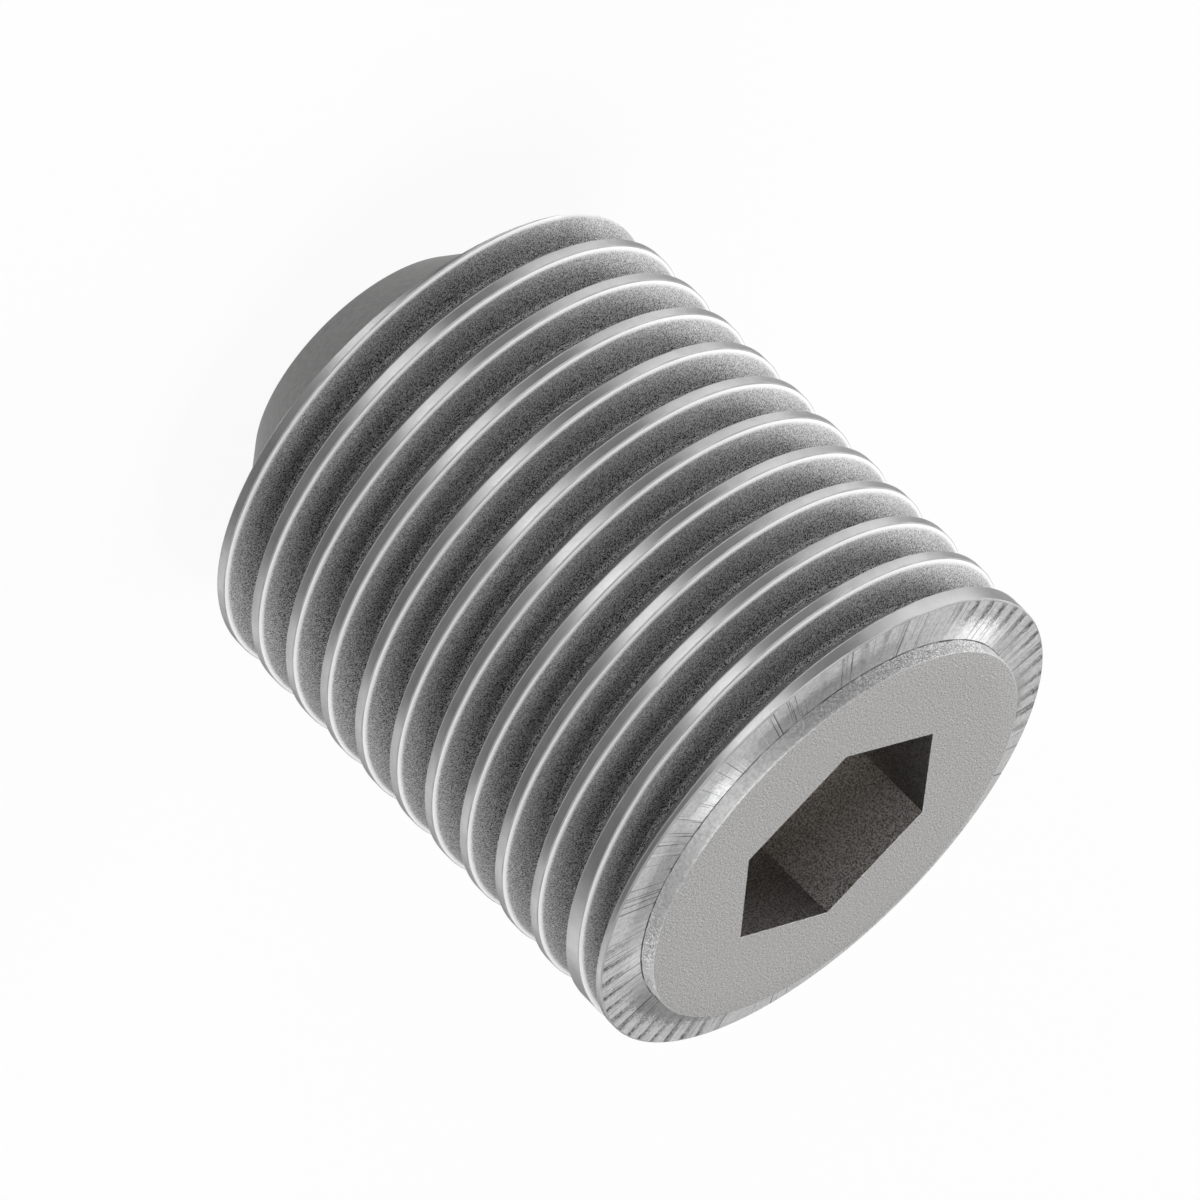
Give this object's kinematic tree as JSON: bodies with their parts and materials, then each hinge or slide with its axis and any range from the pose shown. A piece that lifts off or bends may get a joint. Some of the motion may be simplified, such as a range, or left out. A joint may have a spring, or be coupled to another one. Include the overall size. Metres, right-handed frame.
{
  "type": "grub screw",
  "caption": "Headless steel set screw: fine right-hand thread along the body, hexagon socket in a raised end disc, bevelled flat point.",
  "frame": {"origin": "centre of the flat point's face, which the screw stands on", "axes": "+Z along the screw's axis, from the point to the socket's face; +X through a corner of the hexagon"},
  "size_m": [0.016, 0.016, 0.02],
  "materials": {
    "steel": "machined steel, satin, darker in the thread's groove"
  },
  "bodies": {
    "root": {"grub_screw": "steel"}
  },
  "joints": []
}
